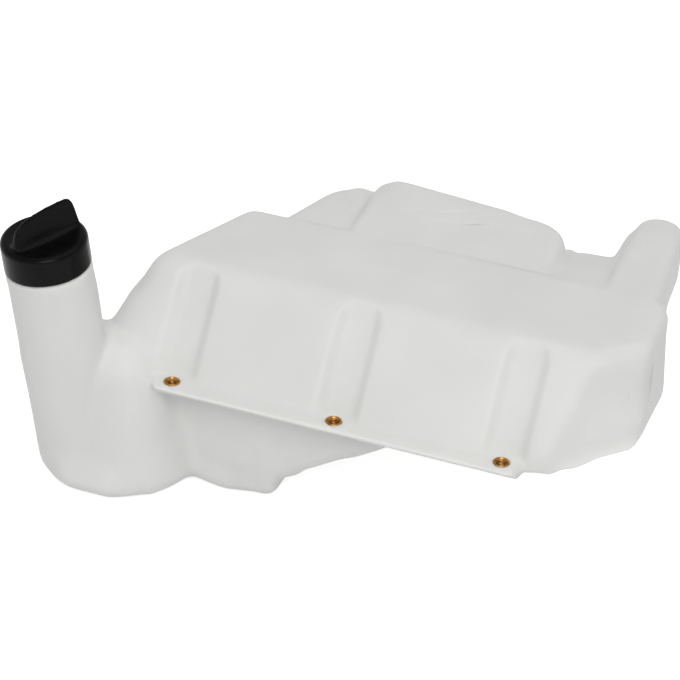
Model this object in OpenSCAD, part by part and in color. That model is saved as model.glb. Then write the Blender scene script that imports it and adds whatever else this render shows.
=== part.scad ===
// Windscreen washer fluid reservoir: a blow-moulded tank with a tilted filler neck, a twist cap
// with a grip fin, three moulded-in threaded inserts and a rubber grommet for the pump.
// Frame: origin on the mouth of the middle insert, X along the row of inserts, Y to the back, Z up.

/* [Moulding] */
// Wall thickness of the blown shell
wall = 3; // [2:0.25:3.5]
// Radius of the rounding on the outer edges of the blown shell
edge_r = 9; // [7:0.5:11]

/* [Slab] */
// Height of the slab's top above the mounting ledge
slab_h = 65; // [60:1:70]
// Slope of the front face from the horizontal, in degrees
face_slope = 54; // [50:1:58]
// Distance from the insert axis back to the foot of the front face
face_foot = 3; // [2:0.5:5]
// Radius of the rounding between the front face and the top
crest_r = 28; // [20:1:34]
// Distance from the insert axis back to the slab's back wall
slab_back = 150; // [142:1:158]
// Distance from the middle insert to the slab's left end, at the ledge
left_reach = 200; // [194:1:206]
// Lean of the left end in plan, in degrees
left_lean = 22; // [18:1:26]
// Slope of the left end from the horizontal, in degrees
left_slope = 76; // [70:1:79]
// Radius of the slab's front left corner, at the ledge
left_r = 24; // [18:1:30]
// Radius of the slab's front left corner, at the top
left_top_r = 12; // [11:0.5:16]
// Distance from the middle insert to the slab's right wall
right_reach = 197; // [190:1:204]
// Radius of the slab's right corners
right_r = 20; // [14:1:26]
// Distance from the middle insert to where the right-hand facet starts, at the ledge
facet_start = 143; // [138:1:148]
// Direction of the right-hand facet in plan, in degrees from the front
facet_turn = 45; // [42:1:48]
// Slope of the right-hand facet from the horizontal, in degrees
facet_slope = 72; // [68:1:78]
// Radius of the corner between the front face and the right-hand facet
facet_r = 14; // [12:1:18]
// Radius of the slab's back left corner
heel_r = 12; // [11:0.5:18]
// Depth of the slab's underside below the ledge, at its left end
floor_depth = 25; // [21:1:30]
// Depth of the slab's underside below the ledge, at the right wall
floor_end = 2; // [1:0.5:5]

/* [Channels] */
// Distance between neighbouring inserts, and so between the channels above them
insert_pitch = 120; // [116:1:124]
// Width of a channel's floor
channel_floor = 20; // [17:1:23]
// Depth of a channel, square to the front face
channel_depth = 5.5; // [4:0.5:7]
// Slope of a channel's side walls, in degrees from its floor
channel_side = 42; // [36:1:50]

/* [Mounting rail] */
// Width of the ledge in front of the insert axis
rail_front = 12.5; // [12:0.5:15]
// Height of the rail's front lip
rail_lip = 1.5; // [1:0.25:3]
// Slope of the rail's underside, in degrees
rail_slope = 38; // [37:1:44]
// Length of rail beyond the outer inserts
rail_over = 13; // [11:1:15]
// Radius of the rail's front corners
rail_r = 7; // [5:0.5:9]
// Distance from the insert axis to the rail's back, inside the wall of the slab
rail_back = 12; // [11:0.5:14]
// Depth of the rail's flat underside below the ledge
rail_depth = 12; // [11:0.5:14]

/* [Rear lobes] */
// Left side of the rear block, from the middle insert
rear_left = -47; // [-53:1:-42]
// Right side of the rear block, from the middle insert
rear_right = 106; // [101:1:111]
// Distance from the insert axis to the rear block's back wall, at its left end
rear_back = 227; // [221:1:233]
// Amount by which the rear block's back wall is nearer at its right end
rear_skew = 8; // [4:1:12]
// Radius of the rear block's back left corner
rear_left_r = 14; // [12:1:18]
// Radius of the rear block's back right corner
rear_right_r = 28; // [18:1:30]
// Height of the rear block's top where it leaves the slab, at its left end
rear_h = 66.5; // [64:0.5:68]
// Rise of the rear block's top to the back, in degrees
rear_rise = 4; // [2:0.5:6]
// Fall of the rear block's top to the right, in degrees
rear_fall = 2; // [1:0.5:3]
// Depth of the rear block's underside below the ledge
rear_depth = 10; // [6:1:16]
// Left side of the shoulder beside the rear block, where it leaves the slab
shoulder_left = -99; // [-105:1:-94]
// Lean of the shoulder's left side in plan, in degrees
shoulder_lean = 17; // [13:1:21]
// Distance from the insert axis to the shoulder's back wall
shoulder_back = 223; // [217:1:226]
// Radius of the shoulder's back corner
shoulder_r = 36; // [28:1:42]
// Height of the shoulder's top at its left side
shoulder_h = 64; // [61:0.5:66]
// Fall of the shoulder's top towards the rear block, in degrees
shoulder_fall = 3; // [1:0.5:5]
// Radius of the rounding on the shoulder's top
shoulder_top_r = 13; // [10:1:16]
// Height of the web between the rear block and the arm, at its back
web_h = 39; // [34:1:44]
// Fall of the web's top to the back, in degrees
web_fall = 14; // [12:0.5:15]
// Distance from the insert axis to the web's back wall
web_back = 237; // [232:1:242]
// Left side of the arm
arm_left = 144; // [140:1:148]
// Width of the arm at its rounded end
arm_w = 37; // [33:1:41]
// Distance from the insert axis to the arm's rounded end
arm_back = 266; // [258:1:274]
// Height of the arm's top
arm_h = 65; // [58:1:66]
// Height of the arm's underside
arm_bottom = 15; // [10:1:20]

/* [Sump] */
// Depth of the sump's floor below the ledge
sump_depth = 93; // [88:1:98]
// Distance from the insert axis back to the sump's front wall
sump_front = 16; // [13:1:20]
// Distance from the insert axis back to the sump's back wall
sump_back = 112; // [106:1:120]
// Right end of the sump's floor
sump_right = -46; // [-51:1:-41]
// Height of the sump's right wall below the ramp
sump_step = 14; // [11:1:18]
// Right end of the ramp that leads up from the sump to the slab's underside
ramp_right = 40; // [34:1:46]
// Radius of the ramp's lower bend
ramp_low_r = 14; // [11:1:18]
// Radius of the ramp's upper bend
ramp_high_r = 24; // [18:1:30]

/* [Filler column] */
// Left side of the lobe below the filler neck
lobe_left = -215; // [-217:1:-212]
// Right side of the lobe, at the sump's floor
lobe_right = -105; // [-108:1:-102]
// Amount by which the lobe's right side leans in from the sump's floor to its top
lobe_taper = 32; // [28:1:34]
// Distance of the lobe's front wall in front of the insert axis, at the sump's floor
lobe_front = 30; // [26:1:31]
// Amount by which the lobe's front leans back from the sump's floor to its top
lobe_rake = 18; // [12:1:22]
// Distance from the insert axis back to the lobe's back wall
lobe_back = 46; // [43:1:52]
// Height of the lobe's domed top
lobe_h = 19; // [17:1:26]
// Radius of the lobe's dome
dome_r = 26; // [24:1:27]
// Radius of the rounding at the lobe's foot
lobe_foot_r = 14; // [10:1:18]
// Radius of the lobe's front right corner, at the sump's floor
lobe_r = 48; // [42:1:52]
// Radius of the lobe's front left corner, at the sump's floor
lobe_left_r = 34; // [28:1:38]
// Radius of the lobe's upright corners at its back
lobe_back_r = 16; // [12:1:18]
// Distance of the neck's axis to the left of the middle insert, at the sump's floor
neck_left = 189.5; // [187:0.5:192]
// Distance of the neck's axis behind the insert axis, at the sump's floor
neck_behind = 2.5; // [0:0.5:5]
// Tilt of the neck to the left, in degrees
neck_tilt_left = 6.5; // [5:0.5:8]
// Tilt of the neck to the front, in degrees
neck_tilt_front = 4.3; // [3:0.1:5.5]
// Outer diameter of the neck
neck_d = 59; // [57:0.5:60]
// Radius of the rounding at the foot of the neck
neck_foot_r = 18; // [14:1:22]
// Length of the neck from the sump's floor to the shoulder under the cap
neck_l = 172; // [165:1:180]
// Diameter of the neck's finish, inside the cap
finish_d = 51; // [50:0.5:52]
// Diameter of the neck's mouth
mouth_d = 45; // [43:0.5:46]

/* [Filler cap] */
// Outer diameter of the cap
cap_d = 60.5; // [60:0.25:62]
// Height of the cap from its skirt's lower edge to its rim
cap_h = 21; // [18:0.5:22]
// Thickness of the cap's skirt
cap_skirt = 2.6; // [2:0.2:3]
// Thickness of the cap's top plate
cap_plate = 2.5; // [2:0.25:3]
// Depth of the dish in the cap's top
cap_dish = 2.5; // [1.5:0.25:3]
// Radius of the rounding on the cap's rim
cap_rim_r = 3.5; // [2.5:0.25:4]
// Gap between the cap's skirt and the neck's shoulder
cap_gap = 0.6; // [0.4:0.1:1]
// Height of the grip fin above the cap's rim
fin_h = 20.5; // [18:0.5:25]
// Direction of the grip fin about the neck, in degrees
fin_turn = 60; // [0:5:90]
// Thickness of the grip fin at its top
fin_top_t = 5; // [4:0.5:6]
// Thickness of the grip fin at its foot
fin_foot_t = 10; // [8:0.5:11]
// Thickness of the seal under the cap's top plate
seal_t = 2.2; // [1.8:0.1:2.6]
// Radial width of the seal
seal_w = 5; // [4.5:0.25:5.5]
// Running gap on each face of the seal
seal_gap = 0.05; // [0.03:0.01:0.08]

/* [Threaded inserts] */
// Core diameter of the insert's thread
insert_core_d = 6.8; // [6.4:0.1:7]
// Outer diameter of the insert's flange
insert_flange_d = 11.4; // [11:0.2:12]
// Thickness of the insert's flange
insert_flange_t = 1.5; // [1:0.25:2]
// Width across the flats of the insert's hexagonal body
insert_hex = 9; // [8.6:0.1:9.4]
// Length of the insert
insert_l = 6.5; // [6:0.25:6.5]

/* [Pump port] */
// Position of the pump port along the row of inserts
port_x = -84; // [-95:1:-80]
// Depth of the pump port's axis below the ledge
port_depth = 70; // [64:1:73]
// Diameter of the pump port's hole in the sump's back wall
port_d = 20; // [18:0.5:22]
// Bore of the grommet
grommet_bore = 14; // [12:0.5:15]
// Width of the grommet's outer flange beyond the hole
grommet_flange = 3.5; // [2.5:0.5:4.5]
// Width of the grommet's inner bead beyond the hole
grommet_bead = 1.5; // [1:0.25:2]
// Thickness of the grommet's flanges
grommet_t = 3; // [2:0.5:4]
// Gap between the grommet's flanges and the sump's wall
grommet_gap = 0.05; // [0.03:0.01:0.08]

/* [Hidden] */
$fn = 64;
arc_steps = 5;
edge_steps = 4;
crest_steps = 6;
// Smallest radius of a corner that has been moved in past its own centre
least_r = 0.5;
// Sides of the recess that seats an insert's flange
seat_sides = 12;
// Reach of a hollow past the face it opens
past = 1;
// Overlap of a lobe with the slab it grows from
rear_overlap = 24;
web_overlap = 12;
// Depth by which the sides of neighbouring lobes run into each other
lap = 24;

function unit(v) = v / norm(v);

// Crossing of the plan lines n1 . p = c1 and n2 . p = c2
function crossing(n1, c1, n2, c2) =
    [c1 * n2.y - c2 * n1.y, n1.x * c2 - n2.x * c1] / cross(n1, n2);

// Corner p between neighbours a and b, as an arc of radius r
function corner_arc(a, p, b, r) =
    let (u = unit(a - p),
         w = unit(b - p),
         half = acos(u * w) / 2,
         centre = p + unit(u + w) * r / sin(half),
         start = p + u * r / tan(half) - centre,
         from = atan2(start.y, start.x),
         turn = sign(cross(p - a, b - p)) * (180 - 2 * half) / arc_steps)
    [for (i = [0 : arc_steps]) centre + r * [cos(from + turn * i), sin(from + turn * i)]];

// Outline through corners given as [x, y, radius], with each edge moved in by d
function outline(c, d) =
    let (n = len(c),
         p = [for (v = c) [v.x, v.y]],
         q = [for (i = [0 : n - 1])
                 let (u = unit(p[(i + n - 1) % n] - p[i]),
                      w = unit(p[(i + 1) % n] - p[i]))
                 p[i] + unit(u + w) * d / sin(acos(u * w) / 2)])
    [for (i = [0 : n - 1])
        each corner_arc(q[(i + n - 1) % n], q[i], q[(i + 1) % n], max(c[i][2] - d, least_r))];

function ring(c, d, z) = [for (p = outline(c, d)) [p.x, p.y, z]];

// Steps [inset, height] of a side with rounded ends, from z0 up to z1, moved in by the given depth
function side_steps(z0, z1, r0, r1, depth) =
    let (b = max(r0 - depth, least_r), t = max(r1 - depth, least_r))
    concat(
        [for (i = [0 : edge_steps])
            let (a = 90 * (1 - i / edge_steps))
            [depth + b * (1 - cos(a)), z0 + depth + b * (1 - sin(a))]],
        [for (i = [0 : edge_steps])
            let (a = 90 * i / edge_steps)
            [depth + t * (1 - cos(a)), z1 - depth - t * (1 - sin(a))]]);

function pad_rings(c, z0, z1, r0, r1, depth) =
    [for (s = side_steps(z0, z1, r0, r1, depth)) ring(c, s[0], s[1])];

// Upper rings of a pad raised by a slope of the given rise per length in X and Y, nil at the point at
function tilted(rings, at, slope) =
    let (half = len(rings) / 2)
    [for (i = [0 : len(rings) - 1])
        [for (p = rings[i])
            i < half ? p : p + [0, 0, slope.x * (p.x - at.x) + slope.y * (p.y - at.y)]]];

// Solid through a stack of rings with equal counts of points
module loft(rings) {
    n = len(rings[0]);
    last = len(rings) - 1;
    sides = [for (i = [0 : last - 1], j = [0 : n - 1])
                let (a = i * n + j, b = i * n + (j + 1) % n)
                each [[a, a + n, b + n], [a, b + n, b]]];
    polyhedron(
        points = [for (r = rings) each r],
        faces = concat([[for (j = [0 : n - 1]) j]], sides, [[for (j = [n - 1 : -1 : 0]) last * n + j]]));
}

// Slab: rings from the underside up the sloped front face and over the crest
left_n = [-cos(left_lean), sin(left_lean)];
facet_n = [sin(facet_turn), -cos(facet_turn)];

function face_y(z, depth) =
    let (r = crest_r - depth,
         zc = slab_h - crest_r,
         yc = face_foot + zc / tan(face_slope) + crest_r / sin(face_slope),
         tangent = zc + r * cos(face_slope))
    z > tangent
        ? yc - sqrt(max(r * r - (z - zc) * (z - zc), 0))
        : max(face_foot + z / tan(face_slope) + depth / sin(face_slope),
              face_foot + depth,
              depth / sin(rail_slope) - rail_front - (z + rail_lip) / tan(rail_slope));

function slab_corners(z, e, depth) =
    let (up = max(z, 0),
         front = face_y(z, depth),
         left = left_reach * cos(left_lean) - up / tan(left_slope) - e / sin(left_slope),
         back = slab_back - e,
         right = right_reach - e,
         facet = facet_start * facet_n.x - z / tan(facet_slope) - e / sin(facet_slope))
    [concat(crossing(left_n, left, [0, -1], -front), left_r + (left_top_r - left_r) * up / slab_h - e),
     concat(crossing([0, -1], -front, facet_n, facet), facet_r - e),
     concat(crossing(facet_n, facet, [1, 0], right), right_r - e),
     [right, back, right_r - e],
     concat(crossing([0, 1], back, left_n, left), heel_r - e)];

// Share of the underside's depth that is left at a place along the slab
function underside(x) =
    1 - (x + left_reach) / (right_reach + left_reach) * (1 - floor_end / floor_depth);

function slab_ring(z, e, depth) =
    [for (p = outline(slab_corners(z, e, depth), 0)) [p.x, p.y, z < 0 ? z * underside(p.x) : z]];

function slab_rings(depth) =
    let (r = edge_r - depth,
         top = slab_h - depth,
         zc = slab_h - crest_r,
         start = 90 - face_slope)
    concat(
        [for (i = [0 : edge_steps])
            let (a = 90 * (1 - i / edge_steps))
            slab_ring(depth - floor_depth + r * (1 - sin(a)), depth + r * (1 - cos(a)), depth)],
        [slab_ring(0, depth, depth)],
        [for (i = [0 : crest_steps])
            let (z = zc + (crest_r - depth) * sin(start + face_slope * i / crest_steps),
                 s = max(z - top + r, 0) / r)
            slab_ring(z, depth + r * (1 - sqrt(max(1 - s * s, 0))), depth)]);

// Straight channel that runs up the front face from below the ledge, widened by the given depth
module channel(depth) {
    length = slab_h / sin(face_slope) + crest_r;
    below = rail_depth / sin(face_slope);
    w0 = channel_floor / 2 + depth * tan(channel_side / 2);
    low = -channel_depth - depth;
    high = 2 * channel_depth;
    w1 = w0 + (high - low) / tan(channel_side);
    translate([0, face_foot, 0])
        rotate([face_slope, 0, 0])
            translate([0, length, 0])
                rotate([90, 0, 0])
                    linear_extrude(length + below)
                        polygon([[-w0, low], [w0, low], [w1, high], [-w1, high]]);
}

module slab(depth) {
    difference() {
        loft(slab_rings(depth));
        for (i = [-1 : 1])
            translate([i * insert_pitch, 0, 0])
                channel(depth);
    }
}

// Raised block behind the slab, with a top that rises to the back and falls to the right
module rear_block(depth) {
    front = slab_back - rear_overlap;
    rings = pad_rings([
        [rear_left, front, edge_r],
        [rear_right, front, edge_r],
        [rear_right, rear_back - rear_skew, rear_right_r],
        [rear_left, rear_back, rear_left_r]], -rear_depth, rear_h, edge_r, edge_r, depth);
    loft(tilted(rings, [rear_left, slab_back], [-tan(rear_fall), tan(rear_rise)]));
}

// Shoulder to the left of the rear block
module shoulder(depth) {
    front = slab_back - rear_overlap - past;
    lean = tan(shoulder_lean);
    right = rear_left + lap;
    rings = pad_rings([
        [shoulder_left - lean * (slab_back - front), front, edge_r],
        [right, front, edge_r],
        [right, shoulder_back, edge_r],
        [shoulder_left + lean * (shoulder_back - slab_back), shoulder_back, shoulder_r]],
        past - rear_depth, shoulder_h, edge_r, shoulder_top_r, depth);
    loft(tilted(rings, [shoulder_left, slab_back], [-tan(shoulder_fall), 0]));
}

// Web between the rear block and the arm
module web(depth) {
    front = slab_back - web_overlap;
    left = rear_right - edge_r - past;
    right = arm_left + lap;
    rings = pad_rings([
        [left, front, edge_r],
        [right, front, edge_r],
        [right, web_back, edge_r],
        [left, web_back, edge_r]], 2 * past - rear_depth, web_h, edge_r, edge_r, depth);
    loft(tilted(rings, [left, web_back], [0, -tan(web_fall)]));
}

// Arm that runs back from the slab's right end
module arm(depth) {
    front = slab_back - rear_overlap + past;
    end_r = arm_w / 2 - past;
    loft(pad_rings([
        [arm_left, front, edge_r],
        [right_reach - edge_r, front, edge_r],
        [arm_left + arm_w, arm_back, end_r],
        [arm_left, arm_back, end_r]], arm_bottom, arm_h, edge_r, edge_r, depth));
}

// Pad whose outline is drawn as [x, z] and that runs back from y0 to y1
module long_pad(c, y0, y1, r, depth) {
    translate([0, y1, 0])
        rotate([90, 0, 0])
            loft(pad_rings(c, 0, y1 - y0, r, r, depth));
}

module sump(depth) {
    top = past - edge_r;
    r = edge_r + past;
    long_pad([
        [lap - neck_left, -sump_depth, r],
        [sump_right, -sump_depth, r],
        [sump_right, top, r],
        [lap - neck_left, top, r]], sump_front, sump_back, edge_r, depth);
}

module ramp(depth) {
    top = 2 * past - edge_r;
    left = sump_right - 2 * lap;
    r = edge_r + past;
    long_pad([
        [left, sump_step - sump_depth, r],
        [sump_right, sump_step - sump_depth, ramp_low_r],
        [ramp_right, past - floor_depth, ramp_high_r],
        [ramp_right, top, r],
        [left, top, r]], sump_front + past, sump_back - past, edge_r, depth);
}

// Lobe that carries the filler neck: its right side and front lean in, and its top is domed
function lobe_ring(inset, z) =
    let (up = (z + sump_depth) / (lobe_h + sump_depth),
         right = lobe_right - lobe_taper * up,
         front = lobe_rake * up - lobe_front)
    ring([[lobe_left, front, lobe_left_r * (1 - up / 2)],
          [right, front, lobe_r * (1 - up / 2)],
          [right, lobe_back, lobe_back_r],
          [lobe_left, lobe_back, lobe_back_r]], inset, z);

module lobe(depth) {
    bottom = past / 2 - sump_depth;
    loft([for (s = side_steps(bottom, lobe_h, lobe_foot_r, dome_r, depth)) lobe_ring(s[0], s[1])]);
}

// Places its children on the neck's axis, with Z along it from the level of the sump's floor
neck_dir = unit([-tan(neck_tilt_left), -tan(neck_tilt_front), 1]);
neck_turn = atan2(neck_dir.y, neck_dir.x);
neck_tilt = acos(neck_dir.z);

module on_neck(z) {
    translate([-neck_left, neck_behind, -sump_depth])
        rotate([0, 0, neck_turn])
            rotate([0, neck_tilt, 0])
                rotate([0, 0, -neck_turn])
                    translate([0, 0, z])
                        children();
}

module neck_column(depth) {
    r = neck_d / 2 - depth;
    f = neck_foot_r - depth;
    on_neck(0)
        rotate_extrude()
            difference() {
                translate([0, depth])
                    square([r, neck_l - 2 * depth]);
                difference() {
                    translate([r - f, depth - past])
                        square([f + past, f + past]);
                    translate([r - f, depth + f])
                        circle(f);
                }
            }
}

// Skin of the blown body as one surface: a new size of 0 keeps each way's own size
module blown(depth) {
    resize([0, 0, 0])
        union() {
            slab(depth);
            rear_block(depth);
            shoulder(depth);
            web(depth);
            arm(depth);
            sump(depth);
            ramp(depth);
            lobe(depth);
        }
}

// Solid ledge that holds the inserts, with a sloped underside and rounded front corners
module rail() {
    end = insert_pitch + rail_over;
    flat = (rail_depth - rail_lip) / tan(rail_slope) - rail_front;
    intersection() {
        translate([-end, 0, 0])
            rotate([90, 0, 90])
                linear_extrude(2 * end)
                    polygon([[-rail_front, 0], [-rail_front, -rail_lip], [flat, -rail_depth],
                             [rail_back, -rail_depth], [rail_back, 0]]);
        translate([0, 0, -rail_depth - past])
            linear_extrude(rail_depth + 2 * past)
                polygon(outline([
                    [-end, -rail_front, rail_r],
                    [end, -rail_front, rail_r],
                    [end, rail_back, least_r],
                    [-end, rail_back, least_r]], 0));
    }
}

// Hexagonal body of an insert
module insert_body() {
    translate([0, 0, -insert_l])
        cylinder(d = insert_hex / cos(30), h = insert_l, $fn = 6);
}

// Seat of an insert in the ledge: a many-sided recess whose flats hold the flange, over the body
module insert_seat() {
    translate([0, 0, -insert_flange_t])
        cylinder(d = insert_flange_d / cos(180 / seat_sides), h = insert_flange_t + past, $fn = seat_sides);
    insert_body();
}

module on_port() {
    translate([port_x, sump_back, -port_depth])
        rotate([-90, 0, 0])
            children();
}

// Levels along the neck
cap_z = neck_l + cap_gap;
ceiling = cap_z + cap_h - cap_dish - cap_plate;
lip = ceiling - seal_t - 2 * seal_gap;

module tank() {
    color("whitesmoke")
        difference() {
            union() {
                blown(0);
                neck_column(0);
                rail();
                on_neck(neck_l - past)
                    cylinder(d = finish_d, h = lip - neck_l + past);
            }
            blown(wall);
            neck_column(wall);
            on_neck(neck_l - wall - past)
                cylinder(d = mouth_d, h = lip - neck_l + wall + 2 * past);
            for (i = [-1 : 1])
                translate([i * insert_pitch, 0, 0])
                    insert_seat();
            on_port()
                translate([0, 0, -2 * wall])
                    cylinder(d = port_d, h = 4 * wall);
        }
}

// Upright blade across the cap: its side profile crossed with its tapered section
module fin() {
    foot = cap_h - cap_dish - cap_plate / 2;
    top = cap_h + fin_h;
    reach = cap_d / 2 - cap_rim_r / 2;
    lead = fin_h / 7;
    trail = fin_h / 2;
    intersection() {
        rotate([90, 0, 0])
            linear_extrude(cap_d, center = true)
                polygon(outline([
                    [-reach, foot, least_r],
                    [reach, foot, least_r],
                    [reach - lead, top, fin_top_t],
                    [trail - reach, top - lead / 2, fin_foot_t]], 0));
        rotate([90, 0, 90])
            linear_extrude(cap_d, center = true)
                polygon(outline([
                    [-fin_foot_t / 2, foot, least_r],
                    [fin_foot_t / 2, foot, least_r],
                    [fin_top_t / 2, top, fin_top_t / 3],
                    [-fin_top_t / 2, top, fin_top_t / 3]], 0));
    }
}

module filler_cap() {
    r = cap_d / 2;
    flat = r - cap_rim_r;
    dish_r = (flat * flat + cap_dish * cap_dish) / (2 * cap_dish);
    color("dimgray")
        on_neck(cap_z) {
            rotate_extrude()
                difference() {
                    square([r, cap_h]);
                    translate([-past, -past])
                        square([r - cap_skirt + past, ceiling - cap_z + past]);
                    translate([0, cap_h - cap_dish + dish_r])
                        circle(dish_r);
                    difference() {
                        translate([flat, cap_h - cap_rim_r])
                            square(cap_rim_r + past);
                        translate([flat, cap_h - cap_rim_r])
                            circle(cap_rim_r);
                    }
                }
            rotate([0, 0, fin_turn])
                fin();
        }
}

module cap_seal() {
    outer = cap_d / 2 - cap_skirt - past;
    color("black")
        on_neck(lip + seal_gap)
            difference() {
                cylinder(r = outer, h = seal_t);
                translate([0, 0, -past])
                    cylinder(r = outer - seal_w, h = seal_t + 2 * past);
            }
}

module insert(i) {
    color("goldenrod")
        translate([i * insert_pitch, 0, 0])
            difference() {
                union() {
                    insert_body();
                    translate([0, 0, -insert_flange_t])
                        cylinder(d = insert_flange_d, h = insert_flange_t);
                }
                translate([0, 0, -insert_l - past])
                    cylinder(d = insert_core_d, h = insert_l + 2 * past);
            }
}

module insert_left() insert(-1);
module insert_middle() insert(0);
module insert_right() insert(1);

// Rubber ring that grips the edge of the pump port
module pump_grommet() {
    r = port_d / 2;
    inner = -wall - grommet_gap - grommet_t;
    color("black")
        on_port()
            difference() {
                union() {
                    translate([0, 0, inner])
                        cylinder(r = r - grommet_gap, h = grommet_gap + grommet_t - inner);
                    translate([0, 0, grommet_gap])
                        cylinder(r = r + grommet_flange, h = grommet_t);
                    translate([0, 0, inner])
                        cylinder(r1 = r - grommet_bead, r2 = r + grommet_bead, h = grommet_t);
                }
                translate([0, 0, inner - past])
                    cylinder(d = grommet_bore, h = grommet_gap + grommet_t - inner + 2 * past);
            }
}

tank();
filler_cap();
cap_seal();
insert_left();
insert_middle();
insert_right();
pump_grommet();
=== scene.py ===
"""Washer fluid reservoir: the looks of the blown tank, its cap, inserts and rubber rings.

Everything is in metres in the part's own frame: X right, Y back, Z up, with the origin in the mouth of
the middle insert. Sizes are written in millimetres and turned to metres by MM.
"""
import math

import bpy
from mathutils import Matrix, Vector


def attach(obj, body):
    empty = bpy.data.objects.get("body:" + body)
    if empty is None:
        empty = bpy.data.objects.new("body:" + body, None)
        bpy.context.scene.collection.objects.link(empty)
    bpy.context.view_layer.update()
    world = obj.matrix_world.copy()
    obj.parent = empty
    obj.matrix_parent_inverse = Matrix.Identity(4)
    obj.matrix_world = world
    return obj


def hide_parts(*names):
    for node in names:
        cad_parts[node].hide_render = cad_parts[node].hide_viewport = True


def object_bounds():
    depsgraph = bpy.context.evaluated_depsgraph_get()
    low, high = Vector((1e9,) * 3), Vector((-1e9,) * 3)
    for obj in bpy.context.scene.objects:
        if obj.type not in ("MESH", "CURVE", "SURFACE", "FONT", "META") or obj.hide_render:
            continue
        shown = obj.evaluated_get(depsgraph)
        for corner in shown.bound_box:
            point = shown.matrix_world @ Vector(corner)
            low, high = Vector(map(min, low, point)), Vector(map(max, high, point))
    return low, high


MM = 0.001

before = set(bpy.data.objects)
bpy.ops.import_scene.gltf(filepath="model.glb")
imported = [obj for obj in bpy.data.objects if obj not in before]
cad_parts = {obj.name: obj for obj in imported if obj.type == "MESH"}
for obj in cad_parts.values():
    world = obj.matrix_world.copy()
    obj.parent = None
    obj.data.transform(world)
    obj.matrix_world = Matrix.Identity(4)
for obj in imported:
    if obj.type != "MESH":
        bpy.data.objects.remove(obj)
cad_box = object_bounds()

# The neck's axis: its foot on the sump's floor, and its direction, leaning left and a little forward.
NECK_FOOT = Vector((-189.5, 2.5, -93)) * MM
NECK_AXIS = Vector((-0.1128886, -0.0744994, 0.9908108)).normalized()
NECK_LENGTH = 172 * MM
NECK_SWELL = 0.8 * MM

# The three threaded inserts along the ledge, and the pump's port in the sump's back wall.
INSERTS = {"insert_left": -120 * MM, "insert_middle": 0.0, "insert_right": 120 * MM}
PORT = Vector((-84, 112, -70)) * MM


def linear(code):
    """Turns an sRGB hex colour into the linear values that a shader takes."""
    channels = [int(code[i:i + 2], 16) / 255 for i in (1, 3, 5)]
    return tuple(c / 12.92 if c <= 0.04045 else ((c + 0.055) / 1.055) ** 2.4 for c in channels) + (1.0,)


def add(tree, kind, settings=None, values=None, links=None):
    """Adds one node: its settings, the values on its sockets, and the outputs linked into it."""
    node = tree.nodes.new(kind)
    for name, value in (settings or {}).items():
        setattr(node, name, value)
    for name, value in (values or {}).items():
        node.inputs[name].default_value = value
    for name, output in (links or {}).items():
        tree.links.new(output, node.inputs[name])
    return node


def alone(obj):
    """Selects one object, and nothing else, for the operators that follow."""
    bpy.ops.object.select_all(action="DESELECT")
    obj.select_set(True)
    bpy.context.view_layer.objects.active = obj


def finish_with(obj, kind, **settings):
    """Adds a modifier with its settings and applies it."""
    alone(obj)
    modifier = obj.modifiers.new(kind.lower(), kind)
    for name, value in settings.items():
        setattr(modifier, name, value)
    bpy.ops.object.modifier_apply(modifier=modifier.name)


def copy_of_solid(node, name):
    """Copies a solid's mesh into a new piece and merges its loose triangles."""
    piece = bpy.data.objects.new(name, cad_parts[node].data.copy())
    bpy.context.collection.objects.link(piece)
    alone(piece)
    bpy.ops.object.mode_set(mode="EDIT")
    bpy.ops.mesh.select_all(action="SELECT")
    bpy.ops.mesh.remove_doubles(threshold=0.01 * MM)
    bpy.ops.object.mode_set(mode="OBJECT")
    return piece


def turned(name, outline, sides):
    """Turns a closed outline of (radius, height) points about Z: a ring grows by extruding and scaling."""
    radius, height = outline[0]
    bpy.ops.object.select_all(action="DESELECT")
    bpy.ops.mesh.primitive_circle_add(vertices=sides, radius=radius, location=(0, 0, height))
    piece = bpy.context.view_layer.objects.active
    piece.name = piece.data.name = name
    bpy.ops.object.transform_apply(location=True)
    bpy.ops.object.mode_set(mode="EDIT")
    bpy.ops.mesh.select_all(action="SELECT")
    for next_radius, next_height in outline[1:] + outline[:1]:
        bpy.ops.mesh.extrude_region_move(TRANSFORM_OT_translate={"value": (0, 0, next_height - height)})
        ratio = next_radius / radius
        bpy.ops.transform.resize(value=(ratio, ratio, 1), center_override=(0, 0, next_height))
        radius, height = next_radius, next_height
    bpy.ops.mesh.select_all(action="SELECT")
    bpy.ops.mesh.remove_doubles(threshold=0.001 * MM)
    bpy.ops.mesh.normals_make_consistent(inside=False)
    bpy.ops.object.mode_set(mode="OBJECT")
    return piece


def thread_ridge(name, section, pitch, turns, sides):
    """Winds a closed section of (radius, height) points about Z as one helical ridge with closed ends."""
    mesh = bpy.data.meshes.new(name)
    count = len(section)
    mesh.from_pydata([(r, 0, z) for r, z in section], [(i, (i + 1) % count) for i in range(count)], [])
    piece = bpy.data.objects.new(name, mesh)
    bpy.context.collection.objects.link(piece)
    finish_with(piece, "SCREW", angle=2 * math.pi * turns, screw_offset=pitch * turns,
                steps=round(sides * turns), render_steps=round(sides * turns), use_merge_vertices=False)
    bpy.ops.object.mode_set(mode="EDIT")
    bpy.ops.mesh.select_all(action="SELECT")
    bpy.ops.mesh.fill_holes(sides=count)
    bpy.ops.mesh.normals_make_consistent(inside=False)
    bpy.ops.object.mode_set(mode="OBJECT")
    return piece


def join_into(piece, *others):
    """Joins other meshes into one piece."""
    alone(piece)
    for other in others:
        other.select_set(True)
    bpy.ops.object.join()


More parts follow.
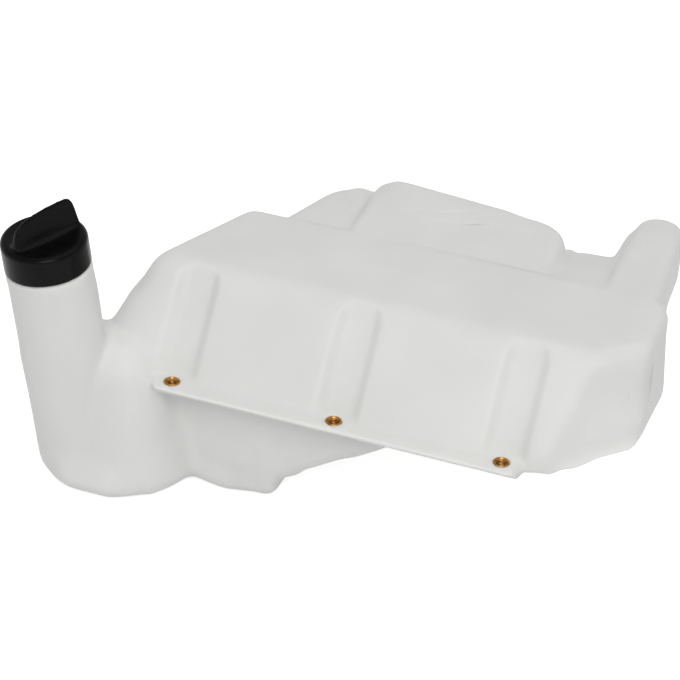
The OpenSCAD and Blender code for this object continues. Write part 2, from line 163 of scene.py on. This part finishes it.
def stand_on(piece, point, axis):
    """Turns a piece that was made about Z to an axis through a point, with its place in its mesh."""
    turn = Vector((0, 0, 1)).rotation_difference(axis).to_matrix().to_4x4()
    piece.matrix_world = Matrix.Translation(point) @ turn
    alone(piece)
    bpy.ops.object.transform_apply(location=True, rotation=True, scale=True)


def dress(piece, material, body, slot, *nodes):
    """Gives a finished piece its material, the body that it rides on and the solids that it stands for."""
    piece.data.materials.clear()
    piece.data.materials.append(material)
    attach(piece, body)
    if nodes:
        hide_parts(*nodes)


def natural_hdpe():
    """Natural polyethylene, blow moulded: milky, softly lit through, with a waxy sheen and a faint ripple."""
    material = bpy.data.materials.new("natural_hdpe")
    material.use_nodes = True
    tree = material.node_tree
    shader = tree.nodes["Principled BSDF"]
    place = add(tree, "ShaderNodeTexCoord")
    # Clouds about 60 mm across, where the wall was drawn a little thinner or thicker.
    clouds = add(tree, "ShaderNodeTexNoise",
                 values={"Scale": 1 / (60 * MM), "Detail": 3.0, "Roughness": 0.45},
                 links={"Vector": place.outputs["Object"]})
    tone = add(tree, "ShaderNodeValToRGB", links={"Fac": clouds.outputs["Fac"]})
    tone.color_ramp.elements[0].position = 0.35
    tone.color_ramp.elements[0].color = linear("#DADBD8")
    tone.color_ramp.elements[1].position = 0.68
    tone.color_ramp.elements[1].color = linear("#DEDEDC")
    # The skin took the mould's fine blasted grain, drawn at 0.9 mm so that it shows.
    grain = add(tree, "ShaderNodeTexNoise", values={"Scale": 1 / (0.9 * MM), "Detail": 2.0},
                links={"Vector": place.outputs["Object"]})
    # A slow ripple about 14 mm long is left where the soft wall cooled against the mould.
    ripple = add(tree, "ShaderNodeTexNoise", values={"Scale": 1 / (14 * MM), "Detail": 1.0},
                 links={"Vector": place.outputs["Object"]})
    waves = add(tree, "ShaderNodeBump", values={"Strength": 0.12, "Distance": 0.4 * MM},
                links={"Height": ripple.outputs["Fac"]})
    skin = add(tree, "ShaderNodeBump", values={"Strength": 0.10, "Distance": 0.05 * MM},
               links={"Height": grain.outputs["Fac"], "Normal": waves.outputs["Normal"]})
    rough = add(tree, "ShaderNodeMapRange", values={"To Min": 0.42, "To Max": 0.54},
                links={"Value": clouds.outputs["Fac"]})
    tree.links.new(tone.outputs["Color"], shader.inputs["Base Color"])
    tree.links.new(rough.outputs["Result"], shader.inputs["Roughness"])
    tree.links.new(skin.outputs["Normal"], shader.inputs["Normal"])
    shader.inputs["IOR"].default_value = 1.54
    shader.inputs["Specular IOR Level"].default_value = 0.18
    shader.inputs["Subsurface Weight"].default_value = 0.45
    shader.inputs["Subsurface Radius"].default_value = (1.0, 1.0, 0.92)
    shader.inputs["Subsurface Scale"].default_value = 5 * MM
    return material


def black_plastic():
    """Black polypropylene, injection moulded: a satin skin with fine spark grain."""
    material = bpy.data.materials.new("black_polypropylene")
    material.use_nodes = True
    tree = material.node_tree
    shader = tree.nodes["Principled BSDF"]
    place = add(tree, "ShaderNodeTexCoord")
    # Handling has dulled the skin in patches about 9 mm across.
    patches = add(tree, "ShaderNodeTexNoise", values={"Scale": 1 / (9 * MM), "Detail": 4.0},
                  links={"Vector": place.outputs["Object"]})
    tone = add(tree, "ShaderNodeValToRGB", links={"Fac": patches.outputs["Fac"]})
    tone.color_ramp.elements[0].position = 0.3
    tone.color_ramp.elements[0].color = linear("#070707")
    tone.color_ramp.elements[1].position = 0.75
    tone.color_ramp.elements[1].color = linear("#0D0D0C")
    rough = add(tree, "ShaderNodeMapRange", values={"To Min": 0.2, "To Max": 0.32},
                links={"Value": patches.outputs["Fac"]})
    # Spark grain from the mould, drawn at 0.5 mm so that it shows.
    grain = add(tree, "ShaderNodeTexNoise", values={"Scale": 1 / (0.5 * MM), "Detail": 2.0},
                links={"Vector": place.outputs["Object"]})
    skin = add(tree, "ShaderNodeBump", values={"Strength": 0.25, "Distance": 0.04 * MM},
               links={"Height": grain.outputs["Fac"]})
    tree.links.new(tone.outputs["Color"], shader.inputs["Base Color"])
    tree.links.new(rough.outputs["Result"], shader.inputs["Roughness"])
    tree.links.new(skin.outputs["Normal"], shader.inputs["Normal"])
    shader.inputs["IOR"].default_value = 1.49
    shader.inputs["Specular IOR Level"].default_value = 0.09
    return material


def turned_brass():
    """Free-cutting brass, turned: warm yellow metal with fine rings left by the tool and a little tarnish."""
    material = bpy.data.materials.new("turned_brass")
    material.use_nodes = True
    tree = material.node_tree
    shader = tree.nodes["Principled BSDF"]
    place = add(tree, "ShaderNodeTexCoord")
    tarnish = add(tree, "ShaderNodeTexNoise", values={"Scale": 1 / (2.5 * MM), "Detail": 4.0},
                  links={"Vector": place.outputs["Object"]})
    tone = add(tree, "ShaderNodeValToRGB", links={"Fac": tarnish.outputs["Fac"]})
    tone.color_ramp.elements[0].position = 0.3
    tone.color_ramp.elements[0].color = linear("#A8743A")
    tone.color_ramp.elements[1].position = 0.7
    tone.color_ramp.elements[1].color = linear("#CFA05C")
    rough = add(tree, "ShaderNodeMapRange", values={"To Min": 0.22, "To Max": 0.42},
                links={"Value": tarnish.outputs["Fac"]})
    # Tool marks 0.35 mm apart, level with the ledge.
    marks = add(tree, "ShaderNodeTexWave", settings={"bands_direction": "Z"},
                values={"Scale": 1 / (0.35 * MM * 2 * math.pi), "Distortion": 0.6},
                links={"Vector": place.outputs["Object"]})
    skin = add(tree, "ShaderNodeBump", values={"Strength": 0.3, "Distance": 0.03 * MM},
               links={"Height": marks.outputs["Fac"]})
    tree.links.new(tone.outputs["Color"], shader.inputs["Base Color"])
    tree.links.new(rough.outputs["Result"], shader.inputs["Roughness"])
    tree.links.new(skin.outputs["Normal"], shader.inputs["Normal"])
    shader.inputs["Metallic"].default_value = 1.0
    return material


def black_rubber():
    """EPDM rubber, compression moulded: matt black with a dusty bloom."""
    material = bpy.data.materials.new("epdm_rubber")
    material.use_nodes = True
    tree = material.node_tree
    shader = tree.nodes["Principled BSDF"]
    place = add(tree, "ShaderNodeTexCoord")
    bloom = add(tree, "ShaderNodeTexNoise", values={"Scale": 1 / (4 * MM), "Detail": 5.0},
                links={"Vector": place.outputs["Object"]})
    tone = add(tree, "ShaderNodeValToRGB", links={"Fac": bloom.outputs["Fac"]})
    tone.color_ramp.elements[0].position = 0.35
    tone.color_ramp.elements[0].color = linear("#1A1A1B")
    tone.color_ramp.elements[1].position = 0.8
    tone.color_ramp.elements[1].color = linear("#2C2C2C")
    rough = add(tree, "ShaderNodeMapRange", values={"To Min": 0.7, "To Max": 0.85},
                links={"Value": bloom.outputs["Fac"]})
    skin = add(tree, "ShaderNodeBump", values={"Strength": 0.2, "Distance": 0.05 * MM},
               links={"Height": bloom.outputs["Fac"]})
    tree.links.new(tone.outputs["Color"], shader.inputs["Base Color"])
    tree.links.new(rough.outputs["Result"], shader.inputs["Roughness"])
    tree.links.new(skin.outputs["Normal"], shader.inputs["Normal"])
    shader.inputs["IOR"].default_value = 1.52
    return material


HDPE = natural_hdpe()
PLASTIC = black_plastic()
BRASS = turned_brass()
RUBBER = black_rubber()


# Soft pulls that bring the solid's plain forms to the moulded ones, all in millimetres: the box that a pull
# holds, the width over which it fades out beyond the box, and how far it moves the skin.
PULLS = (
    # The foot of the lobe comes forward on the left.
    ((-185, -158, -60, 20, -100, -84), 24, (0.0, -7.4, 0.0)),
    # The sump's lower front edge, and the ramp behind it.
    ((-96, -80, -10, 40, -100, -86), 18, (0.0, -4.5, 0.0)),
    ((-36, -4, 0, 60, -72, -46), 18, (0.0, 1.2, 1.4)),
    ((-34, -18, -20, 60, -90, -76), 12, (4.2, 0.0, -0.8)),
    # The slab's left wall.
    ((-205, -150, 20, 140, 12, 34), 16, (-2.6, 0.0, 0.0)),
    # The slab's right-hand end bellies out low down, and its lower edge runs level with the rail.
    ((178, 210, 10, 122, 2, 14), 24, (4.6, -1.2, 0.0)),
    ((139, 150, -20, 14, -14, -2), 11, (0.0, -1.0, -4.8)),
    ((178, 215, 0, 70, -12, -2), 15, (0.0, 0.0, 5.6)),
    # The back edges of the rear block and of the shoulder.
    ((-22, 50, 205, 240, 55, 90), 20, (0.0, 0.0, 1.5)),
    ((-50, -40, 205, 240, 55, 90), 8, (0.0, 0.0, -1.2)),
    ((-60, -50, 195, 240, 50, 80), 9, (0.0, 0.0, 1.6)),
    # The arm's flank runs out into the web, and the web rises to the rear block.
    ((126, 150, 178, 262, 36, 44), 16, (-7.5, 0.0, 0.6)),
    ((92, 98, 190, 245, 28, 40), 10, (0.8, 0.0, 5.0)),
    ((172, 200, 205, 275, 20, 70), 10, (-1.2, 0.0, 0.0)),
    # The neck bows a little to the right between lobe and cap.
    ((-240, -160, -50, 40, 22, 56), 22, (0.8, 0.0, 0.0)),
)


def fade(value, low, high, width):
    """One inside a span and nought beyond it by the width, with a smooth step between."""
    off = max(low - value, value - high, 0.0) / width
    return 0.0 if off >= 1 else (1 - off) ** 2 * (1 + 2 * off)


# Where the skin is blended most, in millimetres: a box, and the width over which the blend fades out.
BLENDS = (
    # The saddle between rear block and arm.
    ((92, 132, 180, 250, 20, 52), 12),
    # The crook between lobe and sump.
    ((-116, -100, -20, 30, -96, -40), 14),
    # The rail's right-hand end.
    ((138, 152, -20, 6, -14, -2), 8),
)
# Share of the broad blend on the rail's lip and the outer feet, and of the relaxing on the neck's finish.
EDGE_BLEND, MOUTH_RELAX = 0.06, 0.12
BLEND_STEPS, RELAX_STEPS = 150, 14
SKIN_VOXEL = 1.7 * MM
SKIN_TRIANGLES = 190000
# The hollow's floor at x = 0, 3 mm above the underside, and its rise per length to the right.
HOLLOW_FLOOR, HOLLOW_RISE = -10.42, 0.0579


def box_share(point, box, width):
    """Share of a pull or a blend at a point, in millimetres: one in its box and fading out beyond it."""
    share = fade(point[0], box[0], box[1], width)
    share = share and share * fade(point[2], box[4], box[5], width)
    return share and share * fade(point[1], box[2], box[3], width)


def pull_into_form(piece):
    """Moves a piece's skin by all the soft pulls."""
    for vertex in piece.data.vertices:
        point = [c / MM for c in vertex.co]
        move = Vector((0, 0, 0))
        for box, width, way in PULLS:
            share = box_share(point, box, width)
            if share:
                move += Vector(way) * share
        vertex.co += move * MM


def lift_hollow_floor(skin):
    """Lifts the hollow's floor behind the sump and right of the ramp to 3 mm above the underside."""
    for vertex in skin.data.vertices:
        x, y, z = (c / MM for c in vertex.co)
        level = HOLLOW_RISE * x + HOLLOW_FLOOR
        right_of_ramp = x > 36 and y > 12
        behind_sump = x > -110 and y > 113
        if (right_of_ramp or behind_sump) and z < level and vertex.normal.z > 0.02:
            vertex.co.z = level * MM


def weigh_skin(skin):
    """Says how far each place of the skin is relaxed, and how far it is blended broadly."""
    relax = skin.vertex_groups.new(name="relax")
    broad = skin.vertex_groups.new(name="broad")
    levels, reaches = {0.0: [], MOUTH_RELAX: [], 1.0: []}, {}
    for vertex in skin.data.vertices:
        x, y, z = (c / MM for c in vertex.co)
        # Crisp places: the seats of the inserts, the port and the neck's finish.
        by_insert = any(math.hypot(x - px / MM, y) < 8 for px in INSERTS.values()) and z > -12
        by_port = math.hypot(x - PORT.x / MM, z - PORT.z / MM) < 15 and abs(y - PORT.y / MM) < 12
        by_mouth = x < -150 and (vertex.co - NECK_FOOT).dot(NECK_AXIS) > NECK_LENGTH - 8 * MM
        level = 0.0 if by_insert or by_port else MOUTH_RELAX if by_mouth else 1.0
        levels[level].append(vertex.index)
        lip = abs(x) < 136 and y < -6 and z < 2
        left_foot = z < -62 or (x < -85 and z < 30 and y < 60)
        right_end = (x > 78 and y > 140) or (x > 146 and y < 165)
        reach = EDGE_BLEND if lip or left_foot or right_end else 0.0
        for box, width in BLENDS:
            reach = max(reach, box_share((x, y, z), box, width))
        if by_insert or by_port or by_mouth:
            reach = 0.0
        reaches.setdefault(round(reach, 2), []).append(vertex.index)
    for group, weights in ((relax, levels), (broad, reaches)):
        for weight, indices in weights.items():
            group.add(indices, weight, "REPLACE")


def swell_neck(skin):
    """Swells the neck a little towards the cap, from 70 mm up."""
    for vertex in skin.data.vertices:
        reach = vertex.co - NECK_FOOT
        along = reach.dot(NECK_AXIS)
        out = reach - NECK_AXIS * along
        on_neck = vertex.co.x < -150 * MM and 24 * MM < out.length < 36 * MM
        if on_neck and 70 * MM < along < NECK_LENGTH + 1 * MM:
            vertex.co += out.normalized() * NECK_SWELL * min(1.0, (along / MM - 70) / 35)


def tank_skin():
    """The blown shell: the solid's own skin, remade fine and relaxed so that its edges flow together."""
    skin = copy_of_solid("tank", "tank_skin")
    lift_hollow_floor(skin)
    finish_with(skin, "REMESH", mode="VOXEL", voxel_size=SKIN_VOXEL)
    weigh_skin(skin)
    finish_with(skin, "SMOOTH", factor=0.5, iterations=BLEND_STEPS, vertex_group="broad")
    finish_with(skin, "SMOOTH", factor=0.5, iterations=RELAX_STEPS, vertex_group="relax")
    swell_neck(skin)
    finish_with(skin, "DECIMATE", ratio=min(1.0, SKIN_TRIANGLES / (2 * len(skin.data.polygons))))
    pull_into_form(skin)
    bpy.ops.object.shade_smooth()
    dress(skin, HDPE, "tank_body", "natural_hdpe", "tank")


def neck_thread():
    """The screw thread moulded on the neck's finish: one ridge, a turn and a quarter long."""
    ridge = thread_ridge("neck_thread", [(25.2 * MM, 0), (27.0 * MM, 0.7 * MM), (27.0 * MM, 1.9 * MM),
                                         (25.2 * MM, 2.6 * MM)], 6 * MM, 1.25, 72)
    stand_on(ridge, NECK_FOOT + NECK_AXIS * (NECK_LENGTH + 2.5 * MM), NECK_AXIS)
    alone(ridge)
    bpy.ops.object.shade_smooth_by_angle(angle=math.radians(35))
    dress(ridge, HDPE, "tank_body", "natural_hdpe")


# The cap in its own frame, with Z up the neck from the skirt's lower edge and the fin along u.
CAP_FOOT = NECK_LENGTH + 0.6 * MM
CAP_R, CAP_H, RIM_R, CAP_CEILING, SKIRT_R = 30.25, 21.0, 3.5, 16.0, 27.65
FIN_TURN = math.radians(60)
# The fin's ridge from its low end to its high end, as (u, z).
RIDGE = ((-26.5, 18.5), (-24.6, 21.5), (-22.6, 28.0), (-20.4, 32.6), (-17.0, 35.4),
         (-10.0, 38.2), (-4.0, 39.6), (6.0, 40.6), (16.0, 40.9), (22.0, 40.7),
         (24.6, 39.4), (26.2, 36.4), (27.2, 32.0), (27.9, 26.0), (28.4, 18.5))
# Half the fin's thickness at its ridge, what its steep upper sides add, and the width of its hollow foot.
FIN_TOP, FIN_SIDE, FIN_FOOT = 1.4, 2.6, 10.0
# The cap's top leans: it stands this much higher at the back left than at the front right.
TOP_LEAN, LEAN_TURN = 3.2, math.radians(150)


def ridge_height(u):
    """Height of the fin's ridge at a place along it."""
    if u <= RIDGE[0][0] or u >= RIDGE[-1][0]:
        return 0.0
    for (u0, z0), (u1, z1) in zip(RIDGE, RIDGE[1:]):
        if u0 <= u <= u1:
            return z0 + (z1 - z0) * (u - u0) / (u1 - u0)


def fin_share(u, v):
    """Share of the fin's height at a distance from its middle plane: steep above, hollow below."""
    away = max(v - FIN_TOP, 0.0)
    foot = 3 + (FIN_FOOT - 3) * math.sqrt(max(1 - (u / CAP_R) ** 2, 0.0))
    return 0.68 * max(1 - away / FIN_SIDE, 0.0) + 0.32 * max(1 - away / foot, 0.0) ** 2.6


def crown_height(x, y, dish):
    """Height of the cap's top: the dish, with the fin's hollow flanks swept up out of it to a thin ridge."""
    u = x * math.cos(FIN_TURN) + y * math.sin(FIN_TURN)
    v = abs(y * math.cos(FIN_TURN) - x * math.sin(FIN_TURN))
    return dish + max(ridge_height(u) - dish, 0.0) * fin_share(u, v)


def lean_rise(x, y):
    """Rise of the leaning top at a place on it."""
    return TOP_LEAN / 2 * (1 + (x * math.cos(LEAN_TURN) + y * math.sin(LEAN_TURN)) / CAP_R)


def filler_cap():
    """The twist cap: its fin runs into the dished top in one soft sweep, and every rim is rounded."""
    flat = CAP_R - RIM_R
    crown = [(max(flat * i / 96, 0.02), CAP_H - 0.6 * (1 - (i / 96) ** 2)) for i in range(97)]
    rim = [(flat + RIM_R * math.sin(a), CAP_H - RIM_R * (1 - math.cos(a)))
           for a in (math.radians(9 * i) for i in range(1, 11))]
    skirt = [(CAP_R, 10.0), (CAP_R, 0.8), (CAP_R - 0.8, 0.0), (SKIRT_R + 0.6, 0.0), (SKIRT_R, 0.6),
             (SKIRT_R, CAP_CEILING), (SKIRT_R - 8, CAP_CEILING), (0.02, CAP_CEILING)]
    cap = turned("cap_shell", [(r * MM, z * MM) for r, z in crown + rim + skirt], 288)
    for vertex in cap.data.vertices:
        x, y, z = (c / MM for c in vertex.co)
        if z > CAP_CEILING + 0.5:
            vertex.co.z = (crown_height(x, y, z) + lean_rise(x, y)) * MM
    finish_with(cap, "REMESH", mode="VOXEL", voxel_size=0.5 * MM)
    finish_with(cap, "SMOOTH", factor=0.5, iterations=4)
    bpy.ops.object.shade_smooth()
    stand_on(cap, NECK_FOOT + NECK_AXIS * CAP_FOOT, NECK_AXIS)
    dress(cap, PLASTIC, "cap_body", "black_plastic", "filler_cap")


# Half sections in millimetres, as (radius, height): an insert, from its mouth down, and the port's ring.
BUSH = ((4.02, -6.4), (4.02, -0.9), (4.75, 0.3), (5.55, 0.3),
        (5.95, 0.0), (5.95, -1.4), (4.9, -1.6), (4.9, -6.4))
PORT_RING = ((7.0, -6.0), (9.6, -6.0), (11.5, -4.4), (11.5, -3.05), (9.95, -3.05), (9.95, 0.05),
             (13.5, 0.05), (13.5, 2.0), (12.4, 3.0), (7.8, 3.0), (7.0, 2.2))


def insert(node, x):
    """A brass bush in the ledge: a flange, a countersunk mouth and an M8 thread."""
    bush = turned("bush_" + node[7:], [(r * MM, z * MM) for r, z in BUSH], 64)
    finish_with(bush, "BEVEL", width=0.12 * MM, segments=2, limit_method="ANGLE",
                angle_limit=math.radians(30))
    bpy.ops.object.shade_smooth_by_angle(angle=math.radians(40))
    ridge = thread_ridge("thread_" + node[7:], [(4.1 * MM, 0), (3.42 * MM, 0.5 * MM), (3.42 * MM, 0.66 * MM),
                                               (4.1 * MM, 1.16 * MM)], 1.25 * MM, 3.9, 40)
    ridge.data.transform(Matrix.Translation((0, 0, -6.2 * MM)))
    join_into(bush, ridge)
    stand_on(bush, Vector((x, 0, 0)), Vector((0, 0, 1)))
    dress(bush, BRASS, "tank_body", "brass", node)


def pump_grommet():
    """The soft ring that takes the pump's spigot: a flange, a waist in the wall and a tapered bead."""
    ring = turned("port_ring", [(r * MM, z * MM) for r, z in PORT_RING], 72)
    finish_with(ring, "BEVEL", width=0.35 * MM, segments=3, limit_method="ANGLE",
                angle_limit=math.radians(25))
    bpy.ops.object.shade_smooth_by_angle(angle=math.radians(40))
    stand_on(ring, PORT, Vector((0, 1, 0)))
    dress(ring, RUBBER, "tank_body", "black_rubber", "pump_grommet")


tank_skin()
neck_thread()
filler_cap()
for node_name, node_x in INSERTS.items():
    insert(node_name, node_x)
pump_grommet()
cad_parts["cap_seal"].data.materials.clear()
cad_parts["cap_seal"].data.materials.append(RUBBER)


def white_to_the_eye(tree):
    """One where a ray comes from the camera, a reflection or a clear body, and nought otherwise."""
    path = add(tree, "ShaderNodeLightPath")
    seen = add(tree, "ShaderNodeMath", settings={"operation": "MAXIMUM"})
    tree.links.new(path.outputs["Is Camera Ray"], seen.inputs[0])
    tree.links.new(path.outputs["Is Glossy Ray"], seen.inputs[1])
    clear = add(tree, "ShaderNodeMath", settings={"operation": "MAXIMUM"})
    tree.links.new(seen.outputs["Value"], clear.inputs[0])
    tree.links.new(path.outputs["Is Transmission Ray"], clear.inputs[1])
    return clear.outputs["Value"]


def studio():
    """A white floor, a white room, one broad lamp from the front and a weaker one from above."""
    world = bpy.data.worlds.new("room")
    bpy.context.scene.world = world
    world.use_nodes = True
    tree = world.node_tree
    ground = tree.nodes["Background"]
    # White at eye level, with a dim ceiling.
    place = add(tree, "ShaderNodeTexCoord")
    way = add(tree, "ShaderNodeSeparateXYZ", links={"Vector": place.outputs["Generated"]})
    walls = add(tree, "ShaderNodeMapRange",
                values={"From Min": 0.12, "From Max": 0.7, "To Min": 1.0, "To Max": 0.35},
                links={"Value": way.outputs["Z"]})
    strength = add(tree, "ShaderNodeMapRange", values={"To Min": 0.5},
                   links={"Value": white_to_the_eye(tree), "To Max": walls.outputs["Result"]})
    tree.links.new(strength.outputs["Result"], ground.inputs["Strength"])
    ground.inputs["Color"].default_value = (1, 1, 1, 1)

    bpy.ops.object.select_all(action="DESELECT")
    bpy.ops.mesh.primitive_plane_add(size=6.0, location=(0, 0, cad_box[0].z - 0.3 * MM))
    floor = bpy.context.view_layer.objects.active
    floor.name = "floor"
    bpy.ops.object.transform_apply(location=True)
    paper = bpy.data.materials.new("white_paper")
    paper.use_nodes = True
    tree = paper.node_tree
    tree.nodes.remove(tree.nodes["Principled BSDF"])
    matt = add(tree, "ShaderNodeBsdfDiffuse", values={"Color": linear("#EAEAEA")})
    lift = add(tree, "ShaderNodeMath", settings={"operation": "MULTIPLY"})
    tree.links.new(white_to_the_eye(tree), lift.inputs[0])
    lift.inputs[1].default_value = 0.68
    glow = add(tree, "ShaderNodeEmission", links={"Strength": lift.outputs["Value"]})
    both = add(tree, "ShaderNodeAddShader")
    tree.links.new(matt.outputs["BSDF"], both.inputs[0])
    tree.links.new(glow.outputs["Emission"], both.inputs[1])
    tree.links.new(both.outputs["Shader"], tree.nodes["Material Output"].inputs["Surface"])
    floor.data.materials.append(paper)

    for name, spot, aim, size, power in (
            ("front", (0.5, -1.45, 1.5), (0.0, 0.08, 0.0), 1.1, 19.6),
            ("overhead", (0.2, 0.2, 1.9), (0.0, 0.1, 0.0), 1.6, 7.0)):
        bpy.ops.object.light_add(type="AREA", location=spot)
        lamp = bpy.context.view_layer.objects.active
        lamp.name = lamp.data.name = name
        lamp.data.size = size
        lamp.data.energy = power
        lamp.rotation_euler = (Vector(aim) - Vector(spot)).to_track_quat("-Z", "Y").to_euler()


def camera():
    """The photograph's view: from the front and a little to the right, looking down, with a slight roll."""
    bpy.ops.object.camera_add()
    eye = bpy.context.view_layer.objects.active
    right = Vector((0.93928, 0.33921, 0.05177))
    up = Vector((-0.22151, 0.48418, 0.84646))
    ahead = Vector((-0.26206, 0.80654, -0.52992))
    turn = Matrix((right, up, -ahead)).transposed().to_4x4()
    eye.matrix_world = Matrix.Translation((0.42213, -1.29575, 0.91693)) @ turn
    eye.data.sensor_width = 36
    eye.data.lens = 127.06
    eye.data.clip_end = 20
    bpy.context.scene.camera = eye


studio()
camera()
bpy.context.scene.view_settings.view_transform = "Standard"
